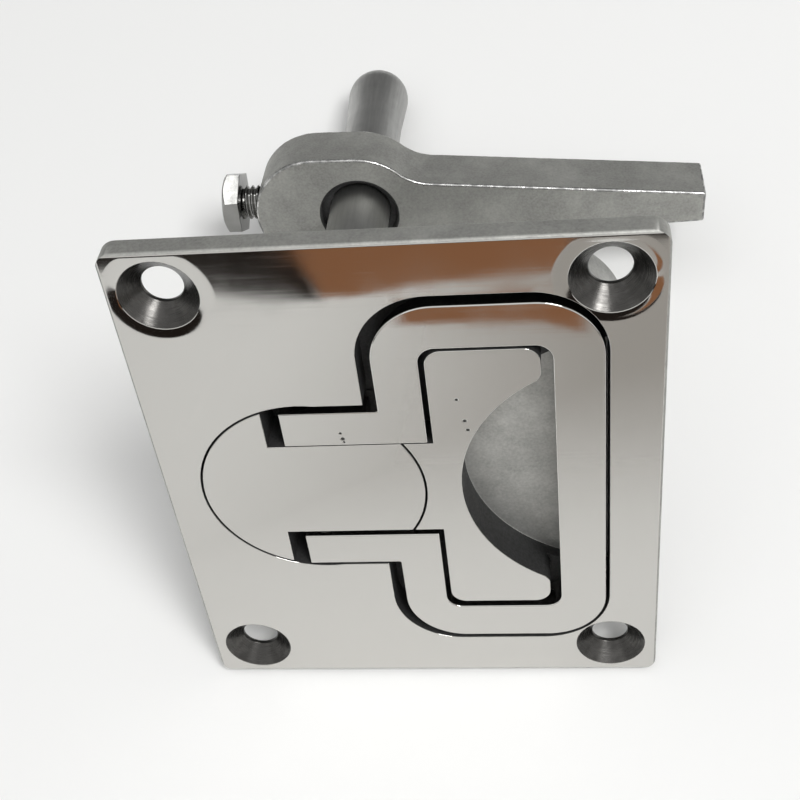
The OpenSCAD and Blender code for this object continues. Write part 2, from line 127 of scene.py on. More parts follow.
class LatchSizes(PropertyGroup):
    """Small sizes that the solids leave out."""

    plate_edge: FloatProperty(
        name="Plate edges", description="Broken edges of the face plate", default=0.00009, unit="LENGTH"
    )
    handle_edge: FloatProperty(
        name="Handle edges", description="Broken edges of the lift handle", default=0.0002, unit="LENGTH"
    )
    rotor_edge: FloatProperty(
        name="Rotor edges", description="Broken edges of the rotor", default=0.0001, unit="LENGTH"
    )
    shaft_edge: FloatProperty(
        name="Shaft edges", description="Broken edges of the shaft", default=0.0003, unit="LENGTH"
    )
    cam_edge: FloatProperty(
        name="Cam edges", description="Worn edges of the lock cam", default=0.00042, unit="LENGTH"
    )
    cam_bore: FloatProperty(
        name="Cam bore", description="Reach of the counterbore in the cam", default=0.007, unit="LENGTH"
    )
    well_x: FloatProperty(
        name="Well centre", description="Centre of the finger well along X", default=0.0289, unit="LENGTH"
    )
    well_radius: FloatProperty(
        name="Well radius", description="Radius of the finger well", default=0.0217, unit="LENGTH"
    )
    hole_x: FloatProperty(
        name="Hole place X",
        description="Half the pitch of the screw holes along X",
        default=0.027,
        unit="LENGTH",
    )
    hole_y: FloatProperty(
        name="Hole place Y",
        description="Half the pitch of the screw holes along Y",
        default=0.03415,
        unit="LENGTH",
    )
    hole_rim: FloatProperty(
        name="Hole rim", description="Radius of a countersink's rim", default=0.0051, unit="LENGTH"
    )
    bolt_axis_angle: FloatProperty(
        name="Bolt angle",
        description="Turn of the set bolt with the cam",
        default=math.radians(-1.7),
        unit="ROTATION",
    )
    bolt_flats: FloatProperty(
        name="Bolt flats", description="Head of the set bolt across its flats", default=0.01, unit="LENGTH"
    )
    bolt_head: FloatProperty(
        name="Bolt head", description="Height of the set bolt's head", default=0.003, unit="LENGTH"
    )
    bolt_seat: FloatProperty(
        name="Bolt seat",
        description="Distance of the bolt's seat from the shaft",
        default=0.02115,
        unit="LENGTH",
    )
    bolt_tip: FloatProperty(
        name="Bolt tip",
        description="Distance of the bolt's tip from the shaft",
        default=0.00525,
        unit="LENGTH",
    )
    bolt_diameter: FloatProperty(
        name="Bolt thread", description="Outer diameter of the bolt's thread", default=0.006, unit="LENGTH"
    )
    thread_pitch: FloatProperty(
        name="Thread pitch", description="Pitch of the bolt's thread", default=0.001, unit="LENGTH"
    )
    thread_depth: FloatProperty(
        name="Thread depth", description="Depth of the bolt's thread", default=0.00045, unit="LENGTH"
    )
    thread_steps: IntProperty(name="Thread steps", description="Steps in one turn of the thread", default=40)


class LatchFinishes(PropertyGroup):
    """Colours and textures of the metals, the plastic and the rubber."""

    polished: FloatVectorProperty(
        name="Polished steel", description="Polished casting", default=(0.585, 0.575, 0.55), subtype="COLOR"
    )
    blasted: FloatVectorProperty(
        name="Blasted steel", description="Blasted floors", default=(0.46, 0.46, 0.44), subtype="COLOR"
    )
    grey_cast: FloatVectorProperty(
        name="Grey casting",
        description="Cam and plate's sides",
        default=(0.36, 0.36, 0.34),
        subtype="COLOR",
    )
    # Very dark colour: partly the unpolished casting's own tone, partly painted shade for the recesses, gaps,
    # slots and the cam's bore
    painted_shade_cast: FloatVectorProperty(
        name="Casting with painted shade",
        description="Casting left dark in the recess",
        default=(0.055, 0.055, 0.055),
        subtype="COLOR",
    )
    # Near-black colour of the countersinks: a painted dark reflection of the room, darker than real turned
    # steel
    turned: FloatVectorProperty(
        name="Turned steel",
        description="Turned countersinks",
        default=(0.068, 0.066, 0.063),
        subtype="COLOR",
    )
    drawn: FloatVectorProperty(
        name="Drawn bar", description="Drawn bar of the shaft", default=(0.42, 0.42, 0.41), subtype="COLOR"
    )
    worn: FloatVectorProperty(
        name="Worn edge", description="Rubbed edges of the cam", default=(0.8, 0.8, 0.78), subtype="COLOR"
    )
    bright: FloatVectorProperty(
        name="Bright steel",
        description="Bolt, pins and washers",
        default=(0.27, 0.27, 0.26),
        subtype="COLOR",
    )
    plastic: FloatVectorProperty(
        name="Acetal", description="Bush and thrust washer", default=(0.8, 0.79, 0.75), subtype="COLOR"
    )
    rubber: FloatVectorProperty(
        name="Rubber", description="Seal ring", default=(0.02, 0.02, 0.02), subtype="COLOR"
    )
    wave_height: FloatProperty(
        name="Polish waves", description="Height of the waves in the polish", default=0.00006, unit="LENGTH"
    )
    grain_height: FloatProperty(
        name="Cast grain",
        description="Height of the grain of a blasted casting",
        default=0.00003,
        unit="LENGTH",
    )
    rim_drop: FloatProperty(
        name="Rim drop",
        description="How far the polish rounds a hole's rim down",
        default=0.00013,
        unit="LENGTH",
    )
    rim_reach: FloatProperty(
        name="Rim reach",
        description="How far from a hole the polish rounds it",
        default=0.002,
        unit="LENGTH",
    )
    pit_depth: FloatProperty(
        name="Pit depth", description="Depth of a pit in the polish", default=0.0001, unit="LENGTH"
    )


class LatchStage(PropertyGroup):
    """Floor, lights and camera."""

    floor_size: FloatProperty(name="Floor size", description="Side of the floor", default=3.0, unit="LENGTH")
    floor_colour: FloatVectorProperty(
        name="Floor", description="Pale floor", default=(0.86, 0.86, 0.85), subtype="COLOR"
    )
    floor_glow: FloatProperty(
        name="Floor glow", description="Paleness that only the camera and the polish see", default=0.04
    )
    warm_colour: FloatVectorProperty(
        name="Warm card",
        description="Warm card that the polish mirrors",
        default=(0.3, 0.14, 0.07),
        subtype="COLOR",
    )
    dark_colour: FloatVectorProperty(
        name="Dark card",
        description="Dark card that the polish mirrors",
        default=(0.018, 0.014, 0.012),
        subtype="COLOR",
    )
    grey_colour: FloatVectorProperty(
        name="Grey card",
        description="Grey card that the polish mirrors",
        default=(0.44, 0.42, 0.395),
        subtype="COLOR",
    )
    key_power: FloatProperty(
        name="Key lamp", description="Power of the large lamp", default=9.4, unit="POWER"
    )
    side_power: FloatProperty(
        name="Side lamp", description="Power of the side lamp", default=8.6, unit="POWER"
    )
    spot_power: FloatProperty(
        name="Small lamp", description="Power of the small lamp", default=0.24, unit="POWER"
    )
    world_level: FloatProperty(name="Room light", description="Level of the room's light", default=0.22)
    camera_place: FloatVectorProperty(
        name="Camera",
        description="Place of the camera",
        default=(0.0209426, 0.1265447, 0.125345),
        subtype="TRANSLATION",
    )
    camera_turn: FloatVectorProperty(
        name="Camera turn",
        description="Turn of the camera",
        default=(math.radians(-42.37935), math.radians(4.108886), math.radians(-6.023687)),
        subtype="EULER",
    )
    camera_lens: FloatProperty(name="Lens", description="Focal length in millimetres", default=58.878)


def sizes():
    """The small sizes of the scene."""
    return bpy.context.scene.latch_sizes


def finishes():
    """The finishes of the scene."""
    return bpy.context.scene.latch_finishes


def stage_settings():
    """The stage of the scene."""
    return bpy.context.scene.latch_stage


def add_node(tree, kind, **values):
    """A node of a kind with its properties set."""
    made = tree.nodes.new(kind)
    for name, value in values.items():
        setattr(made, name, value)
    return made


def noise(tree, vector, scale, detail=2.0, rough=0.5):
    """Noise at a scale, read along a vector."""
    made = add_node(tree, "ShaderNodeTexNoise")
    made.inputs["Scale"].default_value = scale
    made.inputs["Detail"].default_value = detail
    made.inputs["Roughness"].default_value = rough
    tree.links.new(vector, made.inputs["Vector"])
    return made.outputs["Fac"]


def stretched(tree, vector, scale, turn=(0.0, 0.0, 0.0)):
    """A vector stretched and turned by a mapping."""
    made = add_node(tree, "ShaderNodeMapping")
    made.inputs["Scale"].default_value = scale
    made.inputs["Rotation"].default_value = turn
    tree.links.new(vector, made.inputs["Vector"])
    return made.outputs["Vector"]


def ramp(tree, value, low, high, to_low=0.0, to_high=1.0, kind="LINEAR"):
    """A value between two limits mapped to a new range."""
    made = add_node(tree, "ShaderNodeMapRange", clamp=True, interpolation_type=kind)
    for name, number in (("From Min", low), ("From Max", high), ("To Min", to_low), ("To Max", to_high)):
        made.inputs[name].default_value = number
    tree.links.new(value, made.inputs["Value"])
    return made.outputs["Result"]


def combine(tree, operation, *values):
    """Values and numbers put together by one operation."""
    made = add_node(tree, "ShaderNodeMath", operation=operation)
    for socket, value in zip(made.inputs, values):
        if isinstance(value, (int, float)):
            socket.default_value = value
        else:
            tree.links.new(value, socket)
    return made.outputs["Value"]


def blend_colour(tree, mask, first, second):
    """Two colours mixed by a mask."""
    made = add_node(tree, "ShaderNodeMix", data_type="RGBA")
    made.inputs[6].default_value = (*first, 1.0)
    made.inputs[7].default_value = (*second, 1.0)
    tree.links.new(mask, made.inputs["Factor"])
    return made.outputs[2]


def shade(colour, factor):
    """A colour made darker or lighter."""
    return tuple(channel * factor for channel in colour)


def effect_group(name, outputs, inputs=()):
    """An empty node group that reads a vector, with its named sockets."""
    tree = bpy.data.node_groups.new(name, "ShaderNodeTree")
    tree.interface.new_socket("Vector", in_out="INPUT", socket_type="NodeSocketVector")
    for label, value in inputs:
        socket = tree.interface.new_socket(label, in_out="INPUT", socket_type="NodeSocketFloat")
        socket.default_value = value
    for label in outputs:
        tree.interface.new_socket(label, in_out="OUTPUT", socket_type="NodeSocketFloat")
    return tree, add_node(tree, "NodeGroupInput"), add_node(tree, "NodeGroupOutput")


def polish_waves():
    """Long waves that hand polishing leaves, and the faint lines of the mop."""
    tree, source, target = effect_group("Polish Waves", ("Height", "Lines"))
    vector = source.outputs["Vector"]
    long_waves = noise(tree, vector, 55.0, 1.0, 0.4)
    short_waves = noise(tree, vector, 190.0, 1.0, 0.4)
    height = combine(tree, "ADD", long_waves, combine(tree, "MULTIPLY", short_waves, 0.05))
    lines = noise(tree, stretched(tree, vector, (60.0, 2600.0, 60.0), (0.0, 0.0, 0.5)), 1.0, 3.0, 0.6)
    tree.links.new(height, target.inputs["Height"])
    tree.links.new(ramp(tree, lines, 0.5, 0.8), target.inputs["Lines"])
    return tree


def handling_marks():
    """Cloudy marks of hands and cloths."""
    tree, source, target = effect_group("Handling Marks", ("Mask",))
    clouds = noise(tree, source.outputs["Vector"], 70.0, 4.0, 0.6)
    tree.links.new(ramp(tree, clouds, 0.42, 0.72), target.inputs["Mask"])
    return tree


def distance_from(tree, across, up, x, y):
    """Distance of a place in the plane of the face from a point."""
    square_x = combine(tree, "POWER", combine(tree, "SUBTRACT", across, x), 2.0)
    square_y = combine(tree, "POWER", combine(tree, "SUBTRACT", up, y), 2.0)
    return combine(tree, "SQRT", combine(tree, "ADD", square_x, square_y))


def casting_pit():
    """One small pit that the polish opened."""
    place = (("X", 0.0), ("Y", 0.0), ("Radius", 0.0002))
    tree, source, target = effect_group("Casting Pit", ("Mask",), place)
    axes = add_node(tree, "ShaderNodeSeparateXYZ")
    tree.links.new(source.outputs["Vector"], axes.inputs["Vector"])
    away = distance_from(tree, axes.outputs["X"], axes.outputs["Y"], source.outputs["X"], source.outputs["Y"])
    ratio = combine(tree, "DIVIDE", away, source.outputs["Radius"])
    tree.links.new(ramp(tree, ratio, 0.6, 1.4, 1.0, 0.0, "SMOOTHSTEP"), target.inputs["Mask"])
    return tree


def rounded_rim():
    """How far the polish has rounded the rims of four holes, but for the narrow lands above them."""
    places = (("Place X", 0.0), ("Place Y", 0.0), ("Rim", 0.005), ("Reach", 0.002), ("Edge", 0.04))
    tree, source, target = effect_group("Rounded Rim", ("Drop",), places)
    axes = add_node(tree, "ShaderNodeSeparateXYZ")
    tree.links.new(source.outputs["Vector"], axes.inputs["Vector"])
    across = combine(tree, "ABSOLUTE", axes.outputs["X"])
    up = combine(tree, "ABSOLUTE", axes.outputs["Y"])
    away = distance_from(tree, across, up, source.outputs["Place X"], source.outputs["Place Y"])
    past = combine(tree, "SUBTRACT", away, source.outputs["Rim"])
    ratio = combine(tree, "DIVIDE", past, source.outputs["Reach"])
    drop = combine(tree, "POWER", ramp(tree, ratio, 0.0, 1.0, 1.0, 0.0), 2.0)
    land = ramp(tree, combine(tree, "SUBTRACT", source.outputs["Edge"], up), 0.0006, 0.0012)
    tree.links.new(combine(tree, "MULTIPLY", drop, land), target.inputs["Drop"])
    return tree


def cast_grain():
    """Grain of a blasted casting: fine grit on a softer mottle."""
    tree, source, target = effect_group("Cast Grain", ("Height", "Mottle"), (("Grit", 2600.0),))
    grit = add_node(tree, "ShaderNodeTexNoise")
    grit.inputs["Detail"].default_value = 3.0
    grit.inputs["Roughness"].default_value = 0.6
    tree.links.new(source.outputs["Vector"], grit.inputs["Vector"])
    tree.links.new(source.outputs["Grit"], grit.inputs["Scale"])
    lumps = noise(tree, source.outputs["Vector"], 420.0, 3.0, 0.55)
    height = combine(tree, "ADD", grit.outputs["Fac"], combine(tree, "MULTIPLY", lumps, 0.8))
    tree.links.new(height, target.inputs["Height"])
    mottle = combine(tree, "ADD", grit.outputs["Fac"], combine(tree, "MULTIPLY", lumps, 0.4))
    tree.links.new(ramp(tree, mottle, 0.4, 1.0), target.inputs["Mottle"])
    return tree


def shared_group(name):
    """A shared effect, made the first time that it is asked for."""
    makers = {
        "Polish Waves": polish_waves,
        "Handling Marks": handling_marks,
        "Casting Pit": casting_pit,
        "Rounded Rim": rounded_rim,
        "Cast Grain": cast_grain,
    }
    return bpy.data.node_groups.get(name) or makers[name]()


class Finish:
    """A material under construction, with its shader and the coordinates that patterns follow."""

    def __init__(self, name, colour, metallic, roughness):
        self.material = bpy.data.materials.new(name)
        self.material.use_nodes = True
        self.material.diffuse_color = (*colour, 1.0)
        self.tree = self.material.node_tree
        self.shader = self.tree.nodes["Principled BSDF"]
        self.shader.inputs["Base Color"].default_value = (*colour, 1.0)
        self.shader.inputs["Metallic"].default_value = metallic
        self.shader.inputs["Roughness"].default_value = roughness
        self.vector = add_node(self.tree, "ShaderNodeTexCoord").outputs["Object"]

    def effect(self, name, vector=None, **values):
        """A shared effect placed in this material."""
        made = add_node(self.tree, "ShaderNodeGroup", node_tree=shared_group(name))
        self.tree.links.new(vector or self.vector, made.inputs["Vector"])
        for label, value in values.items():
            made.inputs[label].default_value = value
        return made.outputs

    def link(self, value, socket):
        """A value led into a socket of the shader."""
        self.tree.links.new(value, self.shader.inputs[socket])

    def bump(self, height, distance, strength=1.0):
        """A height turned into a bump of a real distance."""
        made = add_node(self.tree, "ShaderNodeBump")
        made.inputs["Strength"].default_value = strength
        made.inputs["Distance"].default_value = distance
        self.tree.links.new(height, made.inputs["Height"])
        self.link(made.outputs["Normal"], "Normal")


def mirror_polish(name, pits):
    """Mirror polish with long waves, faint lines, cloudy marks and pits, with its height left open."""
    colour = tuple(finishes().polished)
    made = Finish(name, colour, 1.0, 0.06)
    waves = made.effect("Polish Waves")
    marks = made.effect("Handling Marks")["Mask"]
    holes = 0.0
    for x, y, radius in pits:
        spot = made.effect("Casting Pit", X=x, Y=y, Radius=radius)["Mask"]
        holes = combine(made.tree, "MAXIMUM", spot, holes)
    made.link(blend_colour(made.tree, holes, colour, shade(colour, 0.1)), "Base Color")
    rough = combine(made.tree, "MULTIPLY_ADD", marks, 0.05, 0.04)
    rough = combine(made.tree, "MULTIPLY_ADD", waves["Lines"], 0.04, rough)
    made.link(combine(made.tree, "MULTIPLY_ADD", holes, 0.5, rough), "Roughness")
    wave = combine(made.tree, "MULTIPLY", waves["Height"], finishes().wave_height)
    return made, combine(made.tree, "MULTIPLY_ADD", holes, -finishes().pit_depth, wave)


def polished_steel():
    """Mirror polish of the handle and the rotor."""
    made, height = mirror_polish("polished steel", HANDLE_PITS)
    made.bump(height, 1.0)
    return made.material


def polished_face():
    """Mirror polish of the face plate, rounded at the rims of its holes."""
    made, height = mirror_polish("polished face", FACE_PITS)
    holes = {"Place X": sizes().hole_x, "Place Y": sizes().hole_y, "Rim": sizes().hole_rim}
    rim = made.effect("Rounded Rim", Reach=finishes().rim_reach, Edge=PLATE_HIGH.y, **holes)["Drop"]
    made.bump(combine(made.tree, "MULTIPLY_ADD", rim, -finishes().rim_drop, height), 1.0)
    return made.material


def blasted(name, colour):
    """Blasted casting with grit, mottle and clouds."""
    made = Finish(name, colour, 0.8, 0.5)
    grain = made.effect("Cast Grain")
    clouds = made.effect("Handling Marks", stretched(made.tree, made.vector, (2.0, 2.0, 2.0)))["Mask"]
    mottle = combine(made.tree, "MULTIPLY", grain["Mottle"], 0.7)
    tone = combine(made.tree, "MULTIPLY_ADD", clouds, 0.6, mottle)
    made.link(blend_colour(made.tree, tone, shade(colour, 0.82), shade(colour, 1.3)), "Base Color")
    made.link(ramp(made.tree, grain["Mottle"], 0.0, 1.0, 0.62, 0.5), "Roughness")
    made.bump(grain["Height"], finishes().grain_height)
    return made.material


def blasted_steel():
    """Blasted floors of the face plate."""
    return blasted("blasted steel", tuple(finishes().blasted))


def grey_casting():
    """Blasted casting of the cam and of the face plate's sides."""
    return blasted("grey casting", tuple(finishes().grey_cast))


def casting_with_painted_shade():
    """Unpolished casting, dark in its own tone and darkened further as painted shade for the recesses, gaps,
    slots and bore where shade falls.
    """
    colour = tuple(finishes().painted_shade_cast)
    made = Finish("dark casting", colour, 0.6, 0.6)
    grain = made.effect("Cast Grain")
    made.link(blend_colour(made.tree, grain["Mottle"], shade(colour, 0.7), shade(colour, 1.3)), "Base Color")
    made.link(ramp(made.tree, grain["Mottle"], 0.0, 1.0, 0.66, 0.5), "Roughness")
    made.bump(grain["Height"], finishes().grain_height)
    return made.material


def turned_steel_with_painted_reflection():
    """Turned steel of the countersinks, with the fine lines of the cutter, its colour made near black as a
    painted dark reflection of the room.
    """
    colour = tuple(finishes().turned)
    made = Finish("turned steel", colour, 1.0, 0.3)
    grain = made.effect("Cast Grain", stretched(made.tree, made.vector, (0.2, 0.2, 3.0)), Grit=2200.0)
    clouds = made.effect("Handling Marks", stretched(made.tree, made.vector, (4.0, 4.0, 4.0)))["Mask"]
    tone = combine(made.tree, "MULTIPLY_ADD", grain["Mottle"], 0.4, clouds)
    made.link(blend_colour(made.tree, tone, shade(colour, 0.75), shade(colour, 1.5)), "Base Color")
    made.link(ramp(made.tree, grain["Mottle"], 0.0, 1.0, 0.34, 0.2), "Roughness")
    made.bump(grain["Height"], 0.00001)
    return made.material


def drawn_bar():
    """Drawn bar with lines along the shaft and cloudy stains."""
    colour = tuple(finishes().drawn)
    made = Finish("drawn bar", colour, 1.0, 0.36)
    grain = made.effect("Cast Grain", stretched(made.tree, made.vector, (1.0, 1.0, 0.06)), Grit=1800.0)
    marks = made.effect("Handling Marks")["Mask"]
    stain = combine(made.tree, "MULTIPLY", combine(made.tree, "ADD", grain["Mottle"], marks), 0.5)
    made.link(blend_colour(made.tree, stain, shade(colour, 0.75), shade(colour, 1.2)), "Base Color")
    made.link(ramp(made.tree, stain, 0.0, 1.0, 0.46, 0.3), "Roughness")
    made.bump(grain["Height"], 0.00002)
    return made.material


def worn_edge():
    """Edges rubbed bright in patches."""
    colour = tuple(finishes().worn)
    made = Finish("worn edge", colour, 1.0, 0.3)
    marks = made.effect("Handling Marks", stretched(made.tree, made.vector, (9.0, 9.0, 9.0)))["Mask"]
    made.link(blend_colour(made.tree, marks, shade(colour, 0.3), colour), "Base Color")
    made.link(ramp(made.tree, marks, 0.0, 0.6, 0.5, 0.22), "Roughness")
    made.bump(made.effect("Cast Grain", Grit=1700.0)["Height"], 0.00006)
    return made.material


def bright_steel():
    """Turned and rolled steel of the bolt, pins and washers."""
    colour = tuple(finishes().bright)
    made = Finish("bright steel", colour, 1.0, 0.2)
    marks = made.effect("Handling Marks", stretched(made.tree, made.vector, (4.0, 4.0, 4.0)))["Mask"]
    grain = made.effect("Cast Grain", Grit=3600.0)
    made.link(blend_colour(made.tree, marks, colour, shade(colour, 0.82)), "Base Color")
    made.link(ramp(made.tree, marks, 0.0, 1.0, 0.1, 0.2), "Roughness")
    made.bump(grain["Height"], 0.000003)
    return made.material


def acetal():
    """Turned plastic with a faint mottle."""
    colour = tuple(finishes().plastic)
    made = Finish("acetal", colour, 0.0, 0.45)
    grain = made.effect("Cast Grain")
    made.link(blend_colour(made.tree, grain["Mottle"], shade(colour, 0.94), colour), "Base Color")
    made.link(ramp(made.tree, grain["Mottle"], 0.0, 1.0, 0.4, 0.52), "Roughness")
    made.bump(grain["Height"], 0.00001)
    return made.material


def seal_rubber():
    """Moulded rubber with a dusty bloom."""
    colour = tuple(finishes().rubber)
    made = Finish("seal rubber", colour, 0.0, 0.7)
    marks = made.effect("Handling Marks", stretched(made.tree, made.vector, (3.0, 3.0, 3.0)))["Mask"]
    made.link(blend_colour(made.tree, marks, colour, shade(colour, 2.2)), "Base Color")
    made.link(ramp(made.tree, marks, 0.0, 1.0, 0.6, 0.8), "Roughness")
    made.bump(made.effect("Cast Grain")["Height"], 0.00001)
    return made.material


def material(name):
    """A finish by its name, made the first time that it is asked for."""
    makers = {
        "polished steel": polished_steel,
        "polished face": polished_face,
        "blasted steel": blasted_steel,
        "grey casting": grey_casting,
        "dark casting": casting_with_painted_shade,
        "turned steel": turned_steel_with_painted_reflection,
        "drawn bar": drawn_bar,
        "worn edge": worn_edge,
        "bright steel": bright_steel,
        "acetal": acetal,
        "seal rubber": seal_rubber,
    }
    return bpy.data.materials.get(name) or makers[name]()


def pick(piece):
    """Selects one object alone and makes it active."""
    bpy.ops.object.select_all(action="DESELECT")
    piece.select_set(True)
    bpy.context.view_layer.objects.active = piece


def apply_modifier(piece, kind, **values):
    """A modifier added with its values and applied."""
    pick(piece)
    made = piece.modifiers.new(kind.title(), kind)
    for name, value in values.items():
        setattr(made, name, value)
    bpy.ops.object.modifier_apply(modifier=made.name)


def set_finishes(piece, *names):
    """Materials of a piece, in the order of its slots."""
    piece.data.materials.clear()
    for name in names:
        piece.data.materials.append(material(name))


def merged_copy(node):
    """A copy of a solid's mesh with its triangles joined into faces."""
    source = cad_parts[node]
    piece = bpy.data.objects.new(f"{node}_dressed", source.data.copy())
    bpy.context.scene.collection.objects.link(piece)
    pick(piece)
    bpy.ops.object.mode_set(mode="EDIT")
    bpy.ops.mesh.select_all(action="SELECT")
    bpy.ops.mesh.remove_doubles(threshold=0.000002)
    bpy.ops.mesh.dissolve_limited(angle_limit=math.radians(0.6))
    bpy.ops.object.mode_set(mode="OBJECT")
    bpy.ops.mesh.customdata_custom_splitnormals_clear()
    return piece


def mark_edges(piece, where):
    """Weights the sharp edges of a piece that are to be broken."""
    shape = bmesh.new()
    shape.from_mesh(piece.data)
    weight = shape.edges.layers.float.new("bevel_weight_edge")
    for edge in shape.edges:
        middle = (edge.verts[0].co + edge.verts[1].co) / 2
        if edge.calc_face_angle(0.0) > SHARP_ANGLE and where(middle):
            edge[weight] = 1.0
    shape.to_mesh(piece.data)
    shape.free()


def broken_edges(node, width, where, *names, edge_slot=-1):
    """A copy of a solid with the sharp edges broken at some places and its finishes set."""
    piece = merged_copy(node)
    mark_edges(piece, where)
    set_finishes(piece, *names)
    for face in piece.data.polygons:
        face.material_index = 0
    apply_modifier(
        piece,
        "BEVEL",
        width=width,
        segments=3,
        limit_method="WEIGHT",
        use_clamp_overlap=False,
        miter_outer="MITER_ARC",
        material=edge_slot,
    )
    pick(piece)
    bpy.ops.object.shade_smooth_by_angle(angle=SMOOTH_ANGLE)
    apply_modifier(piece, "WEIGHTED_NORMAL", keep_sharp=True, weight=80)
    return piece


def take_over(piece, node, body):
    """A piece that rides on a body and stands for a solid."""
    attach(piece, body)
    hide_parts(node)


def border(place):
    """Distance of a place from the sides of the face plate."""
    return min(PLATE_HIGH.x - abs(place.x), PLATE_HIGH.y - abs(place.y))


def plate_edges(place):
    """True for the edges of the face plate that its rolled rim leaves sharp."""
    return place.z < ABOVE_SEAT or border(place) > ROLLED_RIM


def rotor_edges(place):
    """True for the edges of the rotor that stand in the face plate."""
    return place.z > 0


def handle_edges(_place):
    """True for all edges of the lift handle."""
    return True


def shaft_edges(place):
    """True for the edges of the shaft below its cross hole."""
    return place.z < CROSS_HOLE


def cam_edges(place):
    """True for the edges of the lock cam, but for the hole of its bolt."""
    hole = Vector((place.y, place.z - CAM_Z))
    return place.x > SHAFT_X or hole.length > BOLT_HOLE


def plate_finish(face):
    """Name of the finish of a face of the face plate."""
    place = Vector((face.center.x, face.center.y))
    hole = Vector((abs(place.x) - sizes().hole_x, abs(place.y) - sizes().hole_y))
    in_flange = face.center.z > ABOVE_SEAT
    upright = abs(face.normal.z) < 0.3
    # Countersinks take the near-black turned finish, a painted dark reflection of the room
    if in_flange and hole.length < sizes().hole_rim and face.normal.z < 0.9:
        return "turned steel"
    if in_flange and border(place) < FLANGE_SIDE and face.normal.z < 0.95:
        return "grey casting"
    if in_flange and face.normal.z > 0.3:
        return "polished face"
    past_well = (place - Vector((sizes().well_x, 0.0))).length - sizes().well_radius
    # Recess walls, the finger well's wall and the recess floors are darkened with painted shade here, where
    # the handle and the recess shade them
    if in_flange or (upright and abs(past_well) < WELL_WALL):
        return "dark casting"
    if face.normal.z > 0.3:
        return "blasted steel" if past_well < 0 and face.center.z < WELL_FLOOR else "dark casting"
    # Inward walls round the hub and the recess are darkened with painted shade too
    hub = place - Vector((SHAFT_X, 0.0))
    middle = hub if hub.length < HUB_REACH else place
    inward = upright and middle.dot(face.normal.xy) < 0
    return "dark casting" if inward else "blasted steel"


class LATCH_OT_faceplate(Operator):
    """Breaks the edges of the face plate, blasts its floors and its back, and darkens its recess with painted
    shade
    """

    bl_idname = "latch.faceplate"
    bl_label = "Face plate"

    def execute(self, context):
        names = ("polished face", "blasted steel", "dark casting", "turned steel", "grey casting")
        piece = broken_edges("faceplate", sizes().plate_edge, plate_edges, *names)
        for face in piece.data.polygons:
            face.material_index = names.index(plate_finish(face))
        take_over(piece, "faceplate", "plate")
        return {"FINISHED"}


class LATCH_OT_rotor(Operator):
    """Breaks the edges of the rotor"""

    bl_idname = "latch.rotor"
    bl_label = "Rotor"

    def execute(self, context):
        piece = broken_edges("rotor", sizes().rotor_edge, rotor_edges, "polished steel", "dark casting")
        # Every face of the rotor but its top (sides, slots, underside) is darkened with painted shade
        for face in piece.data.polygons:
            on_top = face.center.z > PLATE_HIGH.z - 2 * sizes().rotor_edge and face.normal.z > 0.3
            face.material_index = 0 if on_top else 1
        take_over(piece, "rotor", "rotor")
        return {"FINISHED"}


class LATCH_OT_handle(Operator):
    """Breaks the edges of the lift handle"""

    bl_idname = "latch.handle"
    bl_label = "Lift handle"

    def execute(self, context):
        piece = broken_edges("lift_handle", sizes().handle_edge, handle_edges, "polished steel")
        take_over(piece, "lift_handle", "handle")
        return {"FINISHED"}


class LATCH_OT_shaft(Operator):
    """Breaks the edges of the shaft"""

    bl_idname = "latch.shaft"
    bl_label = "Shaft"

    def execute(self, context):
        piece = broken_edges("lock_shaft", sizes().shaft_edge, shaft_edges, "drawn bar")
        take_over(piece, "lock_shaft", "rotor")
        return {"FINISHED"}


class LATCH_OT_cam(Operator):
    """Breaks the edges of the lock cam and rubs them bright"""

    bl_idname = "latch.cam"
    bl_label = "Lock cam"

    def execute(self, context):
        names = ("grey casting", "worn edge", "dark casting")
        piece = broken_edges("lock_cam", sizes().cam_edge, cam_edges, *names, edge_slot=1)
        # Faces inside the cam's counterbore are darkened with painted shade
        for face in piece.data.polygons:
            away = math.hypot(face.center.x - SHAFT_X, face.center.y)
            if away < sizes().cam_bore and face.center.z < CAM_HIGH.z - 0.00002:
                face.material_index = 2
        take_over(piece, "lock_cam", "cam")
        return {"FINISHED"}


def bolt_head():
    """Hexagon head with turned corners and a washer face, standing on Z."""
    flats = sizes().bolt_flats
    height = sizes().bolt_head
    corners = flats / math.cos(math.radians(30))
    bpy.ops.object.select_all(action="DESELECT")
    bpy.ops.mesh.primitive_cone_add(
        vertices=72,
        radius1=corners / 2 + height,
        radius2=flats * 0.475,
        depth=height,
        location=(0, 0, height / 2),
    )
    turned = bpy.context.object
    bpy.ops.object.select_all(action="DESELECT")
    bpy.ops.mesh.primitive_cylinder_add(
        vertices=6, radius=corners / 2, depth=height, location=(0, 0, height / 2)
    )
    head = bpy.context.object
    head.name = "set_bolt_head"
    bpy.ops.object.transform_apply(location=True, rotation=True, scale=True)
    pick(turned)
    bpy.ops.object.transform_apply(location=True, rotation=True, scale=True)
    apply_modifier(head, "BOOLEAN", operation="INTERSECT", object=turned, solver="EXACT")
    bpy.data.objects.remove(turned)
    apply_modifier(
        head, "BEVEL", width=0.00012, segments=2, limit_method="ANGLE", angle_limit=math.radians(25)
    )
    return head


def bolt_shank():
    """Core of the shank with a pointed end, standing on Z below the head."""
    root = sizes().bolt_diameter / 2 - sizes().thread_depth
    length = sizes().bolt_seat - sizes().bolt_tip
    bpy.ops.object.select_all(action="DESELECT")
    bpy.ops.mesh.primitive_cylinder_add(
        vertices=sizes().thread_steps, radius=root, depth=length, location=(0, 0, -length / 2)
    )
    core = bpy.context.object
    bpy.ops.object.transform_apply(location=True, rotation=True, scale=True)
    apply_modifier(
        core, "BEVEL", width=0.0004, segments=2, limit_method="ANGLE", angle_limit=math.radians(40)
    )
    return core


